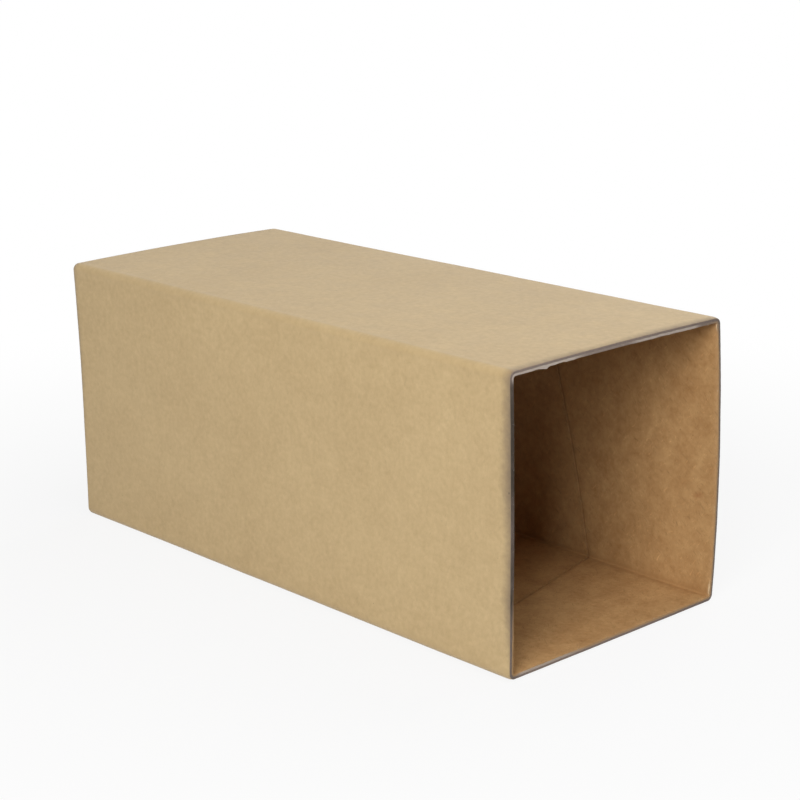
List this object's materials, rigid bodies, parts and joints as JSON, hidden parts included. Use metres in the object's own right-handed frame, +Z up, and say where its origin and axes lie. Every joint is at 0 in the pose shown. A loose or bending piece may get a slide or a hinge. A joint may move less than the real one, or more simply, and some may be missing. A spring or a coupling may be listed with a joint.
{
  "type": "square paper packaging tube",
  "caption": "Square-section paperboard packaging tube, spiral-wound with kraft faces and open at both ends.",
  "frame": {"origin": "on the surface that the tube lies on, under the centre of its outer box", "axes": "+X along the tube to its open mouth, +Y across it, +Z up; the tube lies on its flat bottom panel"},
  "size_m": [0.231, 0.1019, 0.1005],
  "materials": {
    "kraft_board": "matte"
  },
  "bodies": {
    "root": {"square_tube": "kraft_board"}
  },
  "joints": []
}
